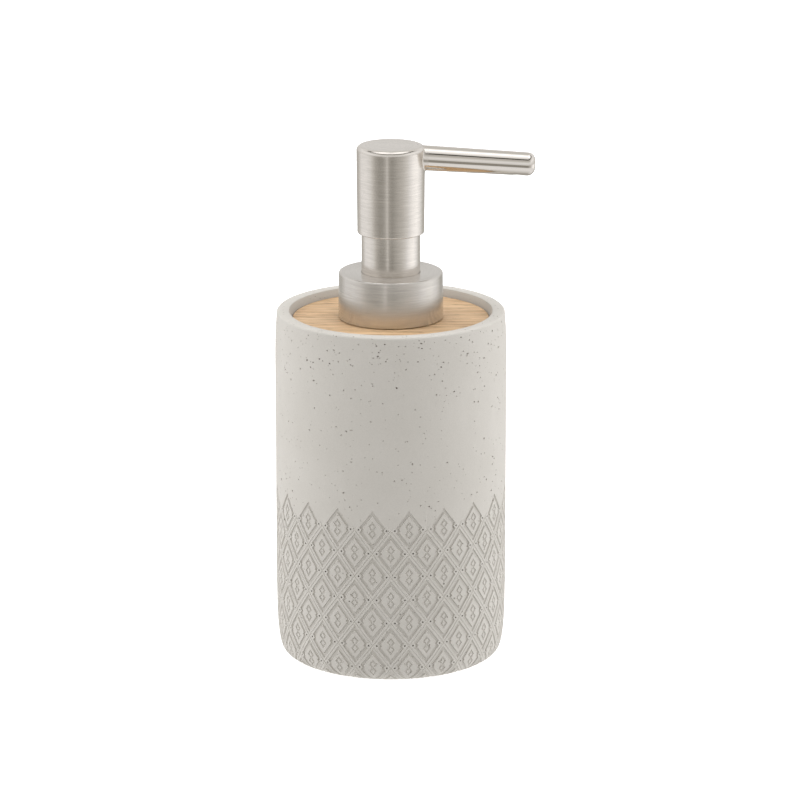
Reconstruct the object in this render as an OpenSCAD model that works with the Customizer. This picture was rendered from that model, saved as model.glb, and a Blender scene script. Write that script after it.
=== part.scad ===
// Refillable soap pump dispenser: a cast stone bottle with a wooden shoulder disc, and a
// threaded lotion pump with a metal collar, a guide sleeve and a round head with a side spout.
// Millimetres. Origin at the centre of the base face, +Z up, spout towards +X.

/* [Bottle] */
// Outside diameter of the bottle
body_d = 76; // [74:1:90]
// Height of the rim above the table
rim_h = 117; // [110:1:130]
// Thickness of the bottle's side wall
wall = 5; // [4:0.5:6]
// Thickness of the floor above the pad
floor_t = 4.9; // [4:0.1:7]
// Thickness of the shoulder that carries the neck
shoulder_t = 5.5; // [5:0.5:8]
// Radius of the rounded bottom edge
foot_round = 6; // [3:0.5:7]
// Radius of the rounded rim
rim_round = 1; // [0.5:0.5:3]
// Width of the rim, from the outside to the mouth
rim_w = 4.8; // [4.5:0.1:6]

/* [Wood and neck] */
// Depth of the wooden disc below the rim
wood_drop = 2.5; // [1:0.5:4]
// Thickness of the wooden disc
wood_t = 3; // [2:0.5:4]
// Radius inside the neck
neck_bore_r = 10.5; // [10:0.1:11]
// Height from one ridge of the neck thread to the next
thread_pitch = 3.4; // [3:0.2:4]
// Ridges of the neck thread that a cut through the neck shows
thread_ridges = 2; // [1:1:2]

/* [Pump] */
// Outside diameter of the metal collar at the bottom
collar_d = 34.4; // [34.4:0.2:38]
// Height of the collar
collar_h = 15.2; // [15:0.1:18]
// Outside diameter of the guide sleeve
sleeve_d = 19.2; // [18.8:0.1:19.4]
// Travel of the head when it is pressed
stroke = 12; // [8:0.5:12]
// Inside radius of the pump cylinder
cylinder_r = 6.5; // [6.2:0.1:6.6]
// Length of the pump housing below its flange, down to the spring's shelf
cylinder_l = 34.7; // [34.7:0.5:40]
// Radius of the hollow stem
stem_r = 3.5; // [3.4:0.05:3.6]
// Radius of each valve ball
ball_r = 2.1; // [1.9:0.05:2.1]
// Lift of each valve ball off its seat
ball_lift = 1.5; // [1:0.1:1.5]
// Gap between the dip tube's end and the bottle's floor
tube_gap = 2.5; // [2:0.5:10]

/* [Head] */
// Diameter of the head at the top
head_d = 22.4; // [22.4:0.2:26]
// Diameter of the head at its lower edge
head_low_d = 21.9; // [21.9:0.1:22.4]
// Height of the head
head_h = 29; // [29:0.5:34]
// Radius of the head's rounded top edge
head_round = 1.6; // [0.8:0.2:1.8]
// Reach of the spout's tip from the pump's axis
reach = 47; // [36:1:60]
// Spout radius at the head
spout_root_r = 4.15; // [4:0.05:4.4]
// Spout radius at the tip
spout_tip_r = 3.85; // [3.6:0.05:4]
// Radius of the rounded end of the spout
tip_round = 2.6; // [1:0.2:3]
// Downward slope of the spout, in degrees
droop = 3.5; // [0:0.5:5]

/* [Hidden] */
$fn = 96;
// Overshoot that keeps cuts from ending flush with a face
eps = 0.1;
// Radial clearance of a moving fit
run_gap = 0.05;
// Radial clearance between pieces that are fixed together
seat_gap = 0.1;
// Gap between faces that move past each other
free_gap = 0.2;

stone_colour = "#c4b8a4";
wood_colour = "#c9a67c";
steel_colour = "#b9b1a6";
plastic_colour = "#e9e8e2";
clear_colour = "#dfe6e6";
pad_colour = "#3a3835";
spring_colour = "#9c9ea0";

// Bottle
body_r = body_d / 2;
pad_proud = 0.4;
pad_sink = 1.2;
pad_r = 30;
pad_edge = 0.3;
floor_z = pad_proud + pad_sink + floor_t;
wood_top = rim_h - wood_drop;
deck_z = wood_top - wood_t;
shoulder_z = deck_z - shoulder_t;
tank_r = body_r - wall;
tank_round = 4;
mouth_r = body_r - rim_w;
mouth_edge = 0.4;
wood_gap = 0.3;
wood_inset = 1;
wood_r = mouth_r - wood_inset;
wood_edge = 0.3;

// Neck
neck_r = 12.4;
crest_r = 13.7;
neck_plug_r = 13.5;
neck_flange_r = 17;
neck_flange_t = 1;
neck_plug_proud = 0.5;
wood_bore_r = 14.4;
ridge_root_w = 1.8;
ridge_crest_w = 0.7;

// Stack of the closure, measured down from the collar's top
collar_z = wood_top + free_gap;
collar_top = collar_z + collar_h;
collar_r = collar_d / 2;
collar_taper = 0.2;
collar_t = 0.8;
collar_edge = 0.5;
nut_top = collar_top - collar_t - seat_gap;
nut_roof_t = 1.6;
nut_roof_z = nut_top - nut_roof_t;
nut_r = collar_r - collar_t - collar_taper - seat_gap;
nut_bore_r = 14.5;
nut_ridge_r = 13.95;
chaplet_flange_t = 1;
chaplet_z = nut_roof_z - free_gap - chaplet_flange_t;
flange_r = 13.4;
flange_t = 1.5;
flange_z = chaplet_z - flange_t;
gasket_t = 1.05;
gasket_gap = 0.05;
gasket_z = flange_z - gasket_gap - gasket_t;
neck_lip = gasket_z - seat_gap;
ridge_drop = 2.5;
ridge_top_z = neck_lip - ridge_drop;

// Sleeve and chaplet
sleeve_r = sleeve_d / 2;
sleeve_t = 0.55;
chaplet_r = sleeve_r - sleeve_t - seat_gap;
chaplet_in_r = 7.6;
chaplet_drop = 4.6;
sleeve_cover = 5.5;
head_clear = 1.1;
head_z = collar_top + stroke + head_clear;
head_top = head_z + head_h;
sleeve_top = head_z + sleeve_cover;
sleeve_lip = 0.5;
sleeve_lip_r = 8;

// Pump cylinder, its valve chamber and the dip tube's socket
housing_t = 1.5;
housing_r = cylinder_r + housing_t;
shelf_z = flange_z - cylinder_l;
shelf_t = 1.2;
cage_r = 1.7;
chamber_r = 2.7;
chamber_top = shelf_z - shelf_t;
seat_r = 1.3;
seat_h = chamber_r - seat_r;
ball_rise = ball_r * sqrt(2) - seat_r + 2 * run_gap;
chamber_h = ball_rise + ball_r + ball_lift + free_gap - seat_h;
seat_top = chamber_top - chamber_h;
seat_z = seat_top - seat_h;
valve_r = 4.7;
passage_h = 1.6;
tube_r = 3;
tube_in_r = 2.2;
tube_socket_top = seat_z - passage_h;
tube_socket_l = 7.6;
tube_end = floor_z + tube_gap;
tube_cut_angle = 25;
vent_r = 0.5;

// Piston, its seat and the spring
piston_clear = 0.4;
piston_top = chaplet_z - chaplet_drop - piston_clear;
piston_h = 7.8;
piston_z = piston_top - piston_h;
piston_sleeve_r = 5;
piston_groove_r = 4.2;
piston_groove_h = 3.4;
piston_web_h = 1.6;
piston_skin_t = 0.7;
piston_lip_h = 0.9;
seat_flange_r = 5.3;
seat_flange_t = 1.4;
seat_flange_z = piston_z - free_gap - seat_flange_t;
seat_spigot_h = 3.3;
seat_plug_h = 1.2;
stem_bore_r = 1.8;
stem_z = piston_z - free_gap + gasket_gap;
port_r = 0.8;
port_rise = 1.8;
port_z = piston_z + port_rise;
wire_r = 0.45;
coil_r = 4.75;
coil_turns = 9;
coil_steps = 20;
coil_sides = 8;
coil_touch = 0.02;
spring_l = seat_flange_z - shelf_z;

// Head
head_r = head_d / 2;
head_low_r = head_low_d / 2;
head_in_r = 9.85;
head_roof_t = 1;
head_low_edge = 1;
core_clear = 0.5;
core_z = sleeve_top + stroke + core_clear;
core_top = head_top - head_roof_t - seat_gap;
core_r = head_in_r - seat_gap;
socket_r = 5.2;
socket_l = 14;
stem_stop = 1;
stem_top = core_z - stem_stop;
passage_r = 1.5;
side_passage_r = 1.35;
upper_seat_z = stem_top - seat_h - chamber_h;
stem_step = 2;
spout_sink = 1.5;
spout_start = head_r - spout_sink;
spout_z = head_top - spout_root_r - seat_gap + head_r * tan(droop);
spout_bore_r = 2.6;
spout_end_t = 3;
liner_r = 2.5;
liner_in_r = 1.7;
liner_start = 7.5;
nozzle_inset = 5.5;
nozzle_s = reach - nozzle_inset;
nozzle_r = 1.6;
nozzle_in_r = 1;
nozzle_up = 1.7;
nozzle_floor_t = 0.6;
nozzle_sunk = 0.5;
nozzle_down = spout_tip_r - nozzle_sunk;
nozzle_port_r = 0.8;

// Round bar between two heights
module rod(r, z0, z1) {
    translate([0, 0, z0]) cylinder(h = z1 - z0, r = r);
}

// Cone between two heights
module taper(r0, r1, z0, z1) {
    translate([0, 0, z0]) cylinder(h = z1 - z0, r1 = r0, r2 = r1);
}

// Tube between two heights
module tube(r_out, r_in, z0, z1) {
    difference() {
        rod(r_out, z0, z1);
        rod(r_in, z0 - eps, z1 + eps);
    }
}

// Rectangle of a profile, between two radii and two heights
module band(r0, r1, z0, z1) {
    translate([r0, z0]) square([r1 - r0, z1 - z0]);
}

// Waste outside a quarter circle, for rounding a profile's outer corner at (x, z).
// sx and sz point from the material to the corner.
module corner_waste(x, z, r, sx, sz) {
    cx = x - sx * r;
    cz = z - sz * r;
    difference() {
        translate([min(cx, x + sx * eps), min(cz, z + sz * eps)]) square(r + eps);
        translate([cx, cz]) circle(r = r);
    }
}

// Ridge that runs round a cylinder of radius r, up to radius r_crest
module ridge(r, r_crest, z) {
    root = ridge_root_w / 2;
    crest = ridge_crest_w / 2;
    rotate_extrude() polygon([[r, z - root], [r_crest, z - crest], [r_crest, z + crest], [r, z + root]]);
}

// Cavity of a ball valve: a passage, a conical seat and a chamber of the given height
module valve_cavity(z, height) {
    taper(seat_r, chamber_r, z, z + seat_h);
    rod(chamber_r, z + seat_h, z + seat_h + height);
}

// Turns a piece drawn along +Z so that it runs along the spout, with its own +X downwards
module along_spout() {
    translate([0, 0, spout_z]) rotate([0, 90 + droop, 0]) children();
}

// Cast bottle: rounded foot and rim, closed reservoir, shoulder with the hole for the neck
module stone_body() {
    color(stone_colour) rotate_extrude() difference() {
        band(0, body_r, pad_proud, rim_h);
        corner_waste(body_r, pad_proud, foot_round, 1, -1);
        corner_waste(body_r, rim_h, rim_round, 1, 1);
        band(-eps, pad_r + seat_gap, 0, pad_proud + pad_sink);
        tank_profile();
        band(-eps, neck_plug_r + seat_gap, shoulder_z - eps, deck_z + eps);
        band(-eps, neck_flange_r + seat_gap, deck_z - neck_flange_t, deck_z + eps);
        mouth_profile();
    }
}

// Inside of the reservoir, with rounded corners
module tank_profile() {
    difference() {
        band(-eps, tank_r, floor_z, shoulder_z);
        corner_waste(tank_r, floor_z, tank_round, 1, -1);
        corner_waste(tank_r, shoulder_z, tank_round, 1, 1);
    }
}

// Recess for the wooden disc, widening a little up to the mouth
module mouth_profile() {
    seat = wood_r + wood_gap;
    polygon([[-eps, deck_z], [seat, deck_z], [seat, wood_top], [mouth_r, rim_h - mouth_edge],
             [mouth_r + mouth_edge + eps, rim_h + eps], [-eps, rim_h + eps]]);
}

// Wooden disc on the shoulder, with the hole for the neck
module wood_disc() {
    color(wood_colour) rotate_extrude() difference() {
        band(wood_bore_r, wood_r, deck_z, wood_top);
        corner_waste(wood_r, wood_top, wood_edge, 1, 1);
        corner_waste(wood_bore_r, wood_top, wood_edge, -1, 1);
    }
}

// Plastic neck bonded into the shoulder, with the thread for the pump
module neck_insert() {
    color(plastic_colour) difference() {
        union() {
            rod(neck_plug_r, shoulder_z - neck_plug_proud, deck_z);
            rod(neck_flange_r, deck_z - neck_flange_t, deck_z);
            rod(neck_r, deck_z - eps, neck_lip);
            for (i = [0 : thread_ridges - 1]) {
                ridge(neck_r - eps, crest_r, ridge_top_z - i * thread_pitch);
            }
        }
        rod(neck_bore_r, shoulder_z - neck_plug_proud - eps, neck_lip + eps);
    }
}

// Foam pad let into the underside, standing a little proud of the stone
module base_pad() {
    color(pad_colour) rotate_extrude() difference() {
        band(0, pad_r, 0, pad_proud + pad_sink);
        corner_waste(pad_r, 0, pad_edge, 1, -1);
    }
}

// Metal shell over the closure nut
module collar_shell() {
    inside_r = nut_r + seat_gap;
    color(steel_colour) rotate_extrude() difference() {
        polygon([[0, collar_z], [collar_r, collar_z], [collar_r - collar_taper, collar_top - collar_edge],
                 [collar_r - collar_taper, collar_top], [0, collar_top]]);
        corner_waste(collar_r - collar_taper, collar_top, collar_edge, 1, 1);
        band(-eps, inside_r, collar_z - eps, collar_top - collar_t);
        band(-eps, sleeve_r + free_gap, collar_z - eps, collar_top + eps);
    }
}

// Plastic screw cap inside the collar, which clamps the pump on the neck
module closure_nut() {
    color(plastic_colour) {
        difference() {
            rod(nut_r, collar_z + free_gap, nut_top);
            rod(nut_bore_r, collar_z, nut_roof_z);
            rod(sleeve_r + free_gap + seat_gap, collar_z, nut_top + eps);
        }
        for (i = [0 : thread_ridges - 1]) {
            ridge(nut_bore_r + eps, nut_ridge_r, ridge_top_z - (i + 0.5) * thread_pitch);
        }
    }
}

// Soft ring between the housing's flange and the neck's lip
module closure_gasket() {
    color(clear_colour) tube(neck_r + free_gap, housing_r + seat_gap, gasket_z, gasket_z + gasket_t);
}

// Pump cylinder with its flange, the inlet valve's chamber and the dip tube's socket
module pump_housing() {
    foot_z = tube_socket_top - tube_socket_l;
    cone_h = housing_r - valve_r;
    color(plastic_colour) difference() {
        union() {
            rod(flange_r, flange_z, chaplet_z);
            rod(housing_r, chamber_top, flange_z + eps);
            taper(valve_r, housing_r, chamber_top - cone_h, chamber_top);
            rod(valve_r, foot_z, chamber_top);
        }
        rod(cylinder_r, shelf_z, chaplet_z + eps);
        rod(cage_r, chamber_top - eps, shelf_z + eps);
        valve_cavity(seat_z, chamber_h);
        rod(seat_r, tube_socket_top - eps, seat_z + eps);
        rod(tube_r + run_gap, foot_z - eps, tube_socket_top);
        translate([0, 0, piston_z + piston_h / 2]) rotate([0, 90, 0])
            cylinder(h = 2 * housing_r, r = vent_r);
    }
}

// Plastic ring that closes the housing, guides the stem and carries the sleeve
module chaplet() {
    bore_r = stem_r + 2 * run_gap;
    flange_top = nut_roof_z - free_gap;
    color(plastic_colour) difference() {
        union() {
            rod(cylinder_r - 3 * run_gap, chaplet_z - chaplet_drop, chaplet_z + eps);
            rod(flange_r, chaplet_z, flange_top);
            rod(chaplet_r, chaplet_z, sleeve_top - sleeve_lip - seat_gap);
        }
        rod(bore_r, chaplet_z - chaplet_drop - eps, flange_top + eps);
        rod(chaplet_in_r, flange_top, sleeve_top);
    }
}

// Metal sleeve pressed over the chaplet, visible between the collar and the head
module guide_sleeve() {
    z0 = nut_roof_z - free_gap + seat_gap;
    color(steel_colour) rotate_extrude() difference() {
        band(sleeve_lip_r, sleeve_r, z0, sleeve_top);
        band(0, sleeve_r - sleeve_t, z0 - eps, sleeve_top - sleeve_lip);
        corner_waste(sleeve_r, sleeve_top, sleeve_lip - seat_gap, 1, 1);
    }
}

// Dip tube, pushed into the housing's socket and cut at an angle at the bottom
module dip_tube() {
    color(clear_colour) difference() {
        tube(tube_r, tube_in_r, tube_end, tube_socket_top - seat_gap);
        translate([tube_r, 0, tube_end]) rotate([0, tube_cut_angle, 0])
            translate([-4 * tube_r, -2 * tube_r, -4 * tube_r]) cube([6 * tube_r, 4 * tube_r, 4 * tube_r]);
    }
}

// Height of the coil after t turns: one closed turn at each end, even pitch between
function coil_z(t) =
    let (rise = spring_l - 2 * wire_r,
         closed = 2 * wire_r + coil_touch,
         open = (rise - 2 * closed) / (coil_turns - 2))
    t < 1 ? t * closed :
    t > coil_turns - 1 ? rise - (coil_turns - t) * closed :
    closed + (t - 1) * open;

// Steel coil spring between the housing's shelf and the piston's seat
module return_spring() {
    rings = coil_turns * coil_steps;
    points = [for (i = [0 : rings]) for (j = [0 : coil_sides - 1])
        let (a = 360 * i / coil_steps,
             b = 360 * j / coil_sides,
             r = coil_r + wire_r * cos(b))
        [r * cos(a), r * sin(a), shelf_z + wire_r + coil_z(i / coil_steps) + wire_r * sin(b)]];
    sides = [for (i = [0 : rings - 1]) for (j = [0 : coil_sides - 1])
        let (k = (j + 1) % coil_sides,
             here = i * coil_sides,
             next = here + coil_sides)
        [here + j, next + j, next + k, here + k]];
    start_cap = [for (j = [0 : coil_sides - 1]) j];
    end_cap = [for (j = [coil_sides - 1 : -1 : 0]) rings * coil_sides + j];
    color(spring_colour) polyhedron(points = points, faces = concat(sides, [start_cap, end_cap]));
}

// Piston with two sealing lips, sliding in the cylinder and round the stem
module piston() {
    lip_r = cylinder_r - run_gap;
    skin_r = lip_r - 2 * run_gap;
    web_z = piston_z + piston_groove_h;
    color(plastic_colour) rotate_extrude() difference() {
        union() {
            band(stem_r + run_gap, piston_sleeve_r, piston_z, piston_top);
            band(stem_r + run_gap, skin_r, web_z, web_z + piston_web_h);
            band(skin_r - piston_skin_t, skin_r, piston_z, piston_top);
            band(skin_r - piston_skin_t, lip_r, piston_z, piston_z + piston_lip_h);
            band(skin_r - piston_skin_t, lip_r, piston_top - piston_lip_h, piston_top);
        }
        band(0, piston_groove_r, piston_z - eps, web_z);
    }
}

// Hollow stem: inlet ports above the piston's seat, outlet valve seat at the top
module stem() {
    step_z = upper_seat_z - stem_step;
    color(plastic_colour) difference() {
        rod(stem_r, stem_z, stem_top);
        rod(stem_bore_r, stem_z - eps, step_z);
        rod(seat_r, step_z - eps, upper_seat_z + eps);
        valve_cavity(upper_seat_z, stem_top - upper_seat_z - seat_h + eps);
        translate([0, 0, port_z]) rotate([0, 90, 0]) cylinder(h = 3 * stem_r, r = port_r, center = true);
        translate([0, 0, port_z]) rotate([90, 0, 0]) cylinder(h = 3 * stem_r, r = port_r, center = true);
    }
}

// Plug in the stem's lower end: closes the piston from below and takes the spring
module piston_seat() {
    flange_top = seat_flange_z + seat_flange_t;
    color(plastic_colour) {
        rod(seat_flange_r, seat_flange_z, flange_top);
        rod(stem_bore_r - run_gap, flange_top - eps, flange_top + seat_plug_h);
        taper(coil_r - 3 * wire_r, coil_r - 2 * wire_r, seat_flange_z - seat_spigot_h, seat_flange_z + eps);
    }
}

// Plastic core of the head: holds the stem and leads the soap to the spout
module head_core() {
    color(plastic_colour) difference() {
        union() {
            rod(core_r, core_z, core_top);
            rod(socket_r, core_z - socket_l, core_z + eps);
        }
        rod(stem_r + run_gap, core_z - socket_l - eps, stem_top + run_gap);
        rod(passage_r, stem_top, spout_z + side_passage_r);
        along_spout() rod(side_passage_r, 0, liner_start + eps);
        along_spout() rod(liner_r + run_gap, liner_start, head_r + eps);
    }
}

// Metal head with its side spout in one piece
module head_shell() {
    color(steel_colour) difference() {
        union() {
            rotate_extrude() difference() {
                polygon([[0, head_z], [head_low_r, head_z], [head_r, head_top - head_round],
                         [head_r, head_top], [0, head_top]]);
                corner_waste(head_r, head_top, head_round, 1, 1);
                corner_waste(head_low_r, head_z, head_low_edge, 1, -1);
            }
            along_spout() rotate_extrude() spout_profile();
        }
        rod(head_in_r, head_z - eps, head_top - head_roof_t);
        along_spout() rod(spout_bore_r, liner_start, reach - spout_end_t);
        along_spout() translate([0, 0, nozzle_s]) rotate([0, 90, 0])
            rod(nozzle_r + run_gap, -nozzle_up - seat_gap, 2 * spout_tip_r);
    }
}

// Half section of the spout: a slight taper with a rounded end
module spout_profile() {
    difference() {
        polygon([[0, spout_start], [spout_root_r, spout_start], [spout_tip_r, reach - tip_round],
                 [spout_tip_r, reach], [0, reach]]);
        corner_waste(spout_tip_r, reach, tip_round, 1, 1);
    }
}

// Plastic tube inside the spout
module spout_liner() {
    liner_end = nozzle_s - nozzle_r - seat_gap;
    color(clear_colour) along_spout() tube(liner_r, liner_in_r, liner_start + seat_gap, liner_end);
}

// Nozzle let into the underside of the spout's end
module outlet_nozzle() {
    color(pad_colour) along_spout() difference() {
        translate([0, 0, nozzle_s]) rotate([0, 90, 0]) difference() {
            rod(nozzle_r, -nozzle_up, nozzle_down);
            rod(nozzle_in_r, nozzle_floor_t - nozzle_up, nozzle_down + eps);
        }
        rod(nozzle_port_r, nozzle_s - nozzle_r - eps, nozzle_s);
    }
}

// Steel ball on the seat of the inlet valve
module inlet_ball() {
    color(spring_colour) translate([0, 0, seat_z + ball_rise]) sphere(r = ball_r);
}

// Steel ball on the seat of the outlet valve, in the top of the stem
module outlet_ball() {
    color(spring_colour) translate([0, 0, upper_seat_z + ball_rise]) sphere(r = ball_r);
}

stone_body();
wood_disc();
neck_insert();
base_pad();
collar_shell();
closure_nut();
closure_gasket();
pump_housing();
chaplet();
guide_sleeve();
dip_tube();
return_spring();
piston();
stem();
piston_seat();
head_core();
head_shell();
spout_liner();
outlet_nozzle();
inlet_ball();
outlet_ball();
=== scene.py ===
"""Soap pump dispenser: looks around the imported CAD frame.

A cast stone bottle with a lattice relief on its lower half, a wooden shoulder disc, and a
threaded lotion pump in brushed metal. Lengths below are millimetres in the frame's own axes,
and become metres when a mesh is made.
"""

import math
import random

import bmesh
import bpy
import numpy as np
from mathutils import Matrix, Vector
from mathutils.geometry import delaunay_2d_cdt


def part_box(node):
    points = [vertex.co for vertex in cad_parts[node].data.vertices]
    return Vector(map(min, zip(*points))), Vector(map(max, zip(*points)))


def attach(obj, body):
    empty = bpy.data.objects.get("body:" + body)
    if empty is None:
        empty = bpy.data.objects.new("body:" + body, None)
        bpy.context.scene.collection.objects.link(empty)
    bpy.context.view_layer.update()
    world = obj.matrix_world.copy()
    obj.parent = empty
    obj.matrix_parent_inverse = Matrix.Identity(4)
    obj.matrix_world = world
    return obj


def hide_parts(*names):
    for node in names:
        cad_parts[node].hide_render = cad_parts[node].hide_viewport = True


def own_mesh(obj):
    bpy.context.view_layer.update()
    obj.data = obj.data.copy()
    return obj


MM = 0.001
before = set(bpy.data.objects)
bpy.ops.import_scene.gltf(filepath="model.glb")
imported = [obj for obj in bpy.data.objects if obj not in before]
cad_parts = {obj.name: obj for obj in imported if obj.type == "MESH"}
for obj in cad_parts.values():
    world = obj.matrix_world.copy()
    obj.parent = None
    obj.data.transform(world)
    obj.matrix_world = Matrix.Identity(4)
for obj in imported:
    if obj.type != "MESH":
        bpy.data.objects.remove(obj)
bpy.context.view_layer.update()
random.seed(7)


# ---------------------------------------------------------------- sizes, from the frame
def span(node):
    """Outer radius of a node about the pump's axis, and its lowest and highest z."""
    lo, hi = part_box(node)
    return max(hi.x, hi.y) / MM, lo.z / MM, hi.z / MM


def inner_radius(node):
    """Smallest distance of a node's surface from the pump's axis."""
    return min(math.hypot(v.co.x, v.co.y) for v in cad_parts[node].data.vertices) / MM


BASE_Z, RIM_Z = span("stone_body")[1:]
BODY_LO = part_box("stone_body")[0]
BODY_R = -max(BODY_LO.x, BODY_LO.y) / MM
WOOD_R, DECK_Z, WOOD_TOP = span("wood_disc")
WOOD_BORE = inner_radius("wood_disc")
COLLAR_R, COLLAR_Z, COLLAR_TOP = span("collar_shell")
SLEEVE_R, SLEEVE_Z, SLEEVE_TOP = span("guide_sleeve")
SLEEVE_LIP_R = inner_radius("guide_sleeve")
NUT_R = span("closure_nut")[0]
NECK_FLANGE_R, NECK_Z, NECK_LIP = span("neck_insert")
NECK_BORE = inner_radius("neck_insert")
PAD_R, PAD_Z, PAD_TOP = span("base_pad")
SPRING_R, SPRING_Z, SPRING_TOP = span("return_spring")
HEAD_LO, HEAD_HI = (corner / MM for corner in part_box("head_shell"))
HEAD_R = HEAD_HI.y
TIP_X = HEAD_HI.x
TURN = 2 * math.pi
FIT = 0.1  # gap between pieces that are fixed together


# ---------------------------------------------------------------- mesh helpers
def placed(name, data):
    """New object in the scene."""
    obj = bpy.data.objects.new(name, data)
    bpy.context.scene.collection.objects.link(obj)
    return obj


def new_object(name, verts, faces, sharp_angle=35, attributes=None):
    """Mesh object from millimetre points, smooth but for edges sharper than the given angle."""
    mesh = bpy.data.meshes.new(name)
    mesh.from_pydata([Vector(v) * MM for v in verts], [], [list(map(int, f)) for f in faces])
    for label, values in (attributes or {}).items():
        layer = mesh.attributes.new(label, "FLOAT", "POINT")
        layer.data.foreach_set("value", np.array(values, np.float32))
    work = bmesh.new()
    work.from_mesh(mesh)
    bmesh.ops.remove_doubles(work, verts=work.verts, dist=1e-7)
    bmesh.ops.recalc_face_normals(work, faces=work.faces)
    work.to_mesh(mesh)
    work.free()
    mesh.shade_smooth()
    mesh.set_sharp_from_angle(angle=math.radians(sharp_angle))
    return placed(name, mesh)


def rounded(corners, steps=5):
    """Closed profile through (r, z, corner radius) points, with each corner as an arc."""
    out = []
    for i, (r, z, radius) in enumerate(corners):
        here = np.array((r, z), float)
        if not radius:
            out.append(here)
            continue
        before = np.array(corners[i - 1][:2], float) - here
        after = np.array(corners[(i + 1) % len(corners)][:2], float) - here
        before /= np.linalg.norm(before)
        after /= np.linalg.norm(after)
        half = math.acos(float(np.clip(before @ after, -1, 1))) / 2
        middle = before + after
        centre = here + middle / np.linalg.norm(middle) * radius / math.sin(half)
        start = here + before * radius / math.tan(half) - centre
        end = here + after * radius / math.tan(half) - centre
        a0 = math.atan2(start[1], start[0])
        turn = (math.atan2(end[1], end[0]) - a0 + math.pi) % TURN - math.pi
        for k in range(steps + 1):
            a = a0 + turn * k / steps
            out.append(centre + radius * np.array((math.cos(a), math.sin(a))))
    return out


def lathe_data(profile, segments=192, closed=True):
    """Points and faces of a profile turned round the pump's axis."""
    verts, faces = [], []
    for r, z in profile:
        for j in range(segments):
            a = TURN * j / segments
            verts.append((r * math.sin(a), -r * math.cos(a), z))
    rings = len(profile)
    for i in range(rings if closed else rings - 1):
        here, above = i * segments, (i + 1) % rings * segments
        for j in range(segments):
            k = (j + 1) % segments
            faces.append((here + j, here + k, above + k, above + j))
    return verts, faces


def lathe(name, profile, segments=192, sharp_angle=35):
    """Closed profile turned round the pump's axis, as an object."""
    return new_object(name, *lathe_data(profile, segments), sharp_angle)


def put(obj, body, slot, material, *nodes):
    """A finished piece: what it rides on, which CAD nodes it stands for, and its finish."""
    obj.data.materials.clear()
    obj.data.materials.append(material)
    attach(obj, body)
    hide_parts(*nodes)
    return obj


# ---------------------------------------------------------------- node helpers
class Nodes:
    """The nodes of a material or of the world, with short ways to add them."""

    def __init__(self, owner):
        owner.use_nodes = True
        self.tree = owner.node_tree
        self.tree.nodes.clear()
        self.link = self.tree.links.new

    def add(self, kind, **settings):
        """New shader node; a setting is a property or, failing that, an input's value."""
        node = self.tree.nodes.new("ShaderNode" + kind)
        for key, value in settings.items():
            if hasattr(node, key):
                setattr(node, key, value)
            else:
                node.inputs[key.replace("_", " ")].default_value = value
        return node

    def mixed(self, factor, first, second, mode="MIX"):
        """Colour mix of two sockets or colours, by a socket or a number."""
        node = self.add("Mix", data_type="RGBA", blend_type=mode)
        for index, value in ((0, factor), (6, first), (7, second)):
            if isinstance(value, bpy.types.NodeSocket):
                self.link(value, node.inputs[index])
            elif index:
                node.inputs[index].default_value = (*value, 1)
            else:
                node.inputs[index].default_value = value
        return node.outputs[2]

    def calc(self, operation, *values, clamp=False):
        """Math node on sockets or numbers."""
        node = self.add("Math", operation=operation, use_clamp=clamp)
        for index, value in enumerate(values):
            if isinstance(value, bpy.types.NodeSocket):
                self.link(value, node.inputs[index])
            else:
                node.inputs[index].default_value = value
        return node.outputs[0]

    def ramp(self, source, *stops):
        """Colour ramp over a socket: stops are (position, grey or colour)."""
        node = self.add("ValToRGB")
        self.link(source, node.inputs[0])
        elements = node.color_ramp.elements
        while len(elements) < len(stops):
            elements.new(0.5)
        for element, (position, value) in zip(elements, stops):
            element.position = position
            element.color = (*value, 1) if isinstance(value, tuple) else (value, value, value, 1)
        return node.outputs[0]

    def noise(self, vector, scale, detail=3, roughness=0.55):
        """Noise texture over a vector socket."""
        node = self.add("TexNoise", Scale=scale, Detail=detail, Roughness=roughness)
        self.link(vector, node.inputs["Vector"])
        return node.outputs["Fac"]

    def stretched(self, scale):
        """Object coordinates in metres, scaled by axis."""
        node = self.add("Mapping")
        node.inputs["Scale"].default_value = scale
        self.link(self.add("TexCoord").outputs["Object"], node.inputs["Vector"])
        return node.outputs[0]

    def bumped(self, shader, height, distance, strength=1.0, previous=None):
        """Bump on the shader's normal, over an earlier bump if there is one."""
        node = self.add("Bump", Distance=distance, Strength=strength)
        self.link(height, node.inputs["Height"])
        if previous is not None:
            self.link(previous, node.inputs["Normal"])
        self.link(node.outputs[0], shader.inputs["Normal"])
        return node.outputs[0]


def material(name):
    """Empty node material: (material, its nodes, principled shader)."""
    mat = bpy.data.materials.new(name)
    nodes = Nodes(mat)
    shader = nodes.add("BsdfPrincipled")
    nodes.link(shader.outputs[0], nodes.add("OutputMaterial").inputs[0])
    return mat, nodes, shader


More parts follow.
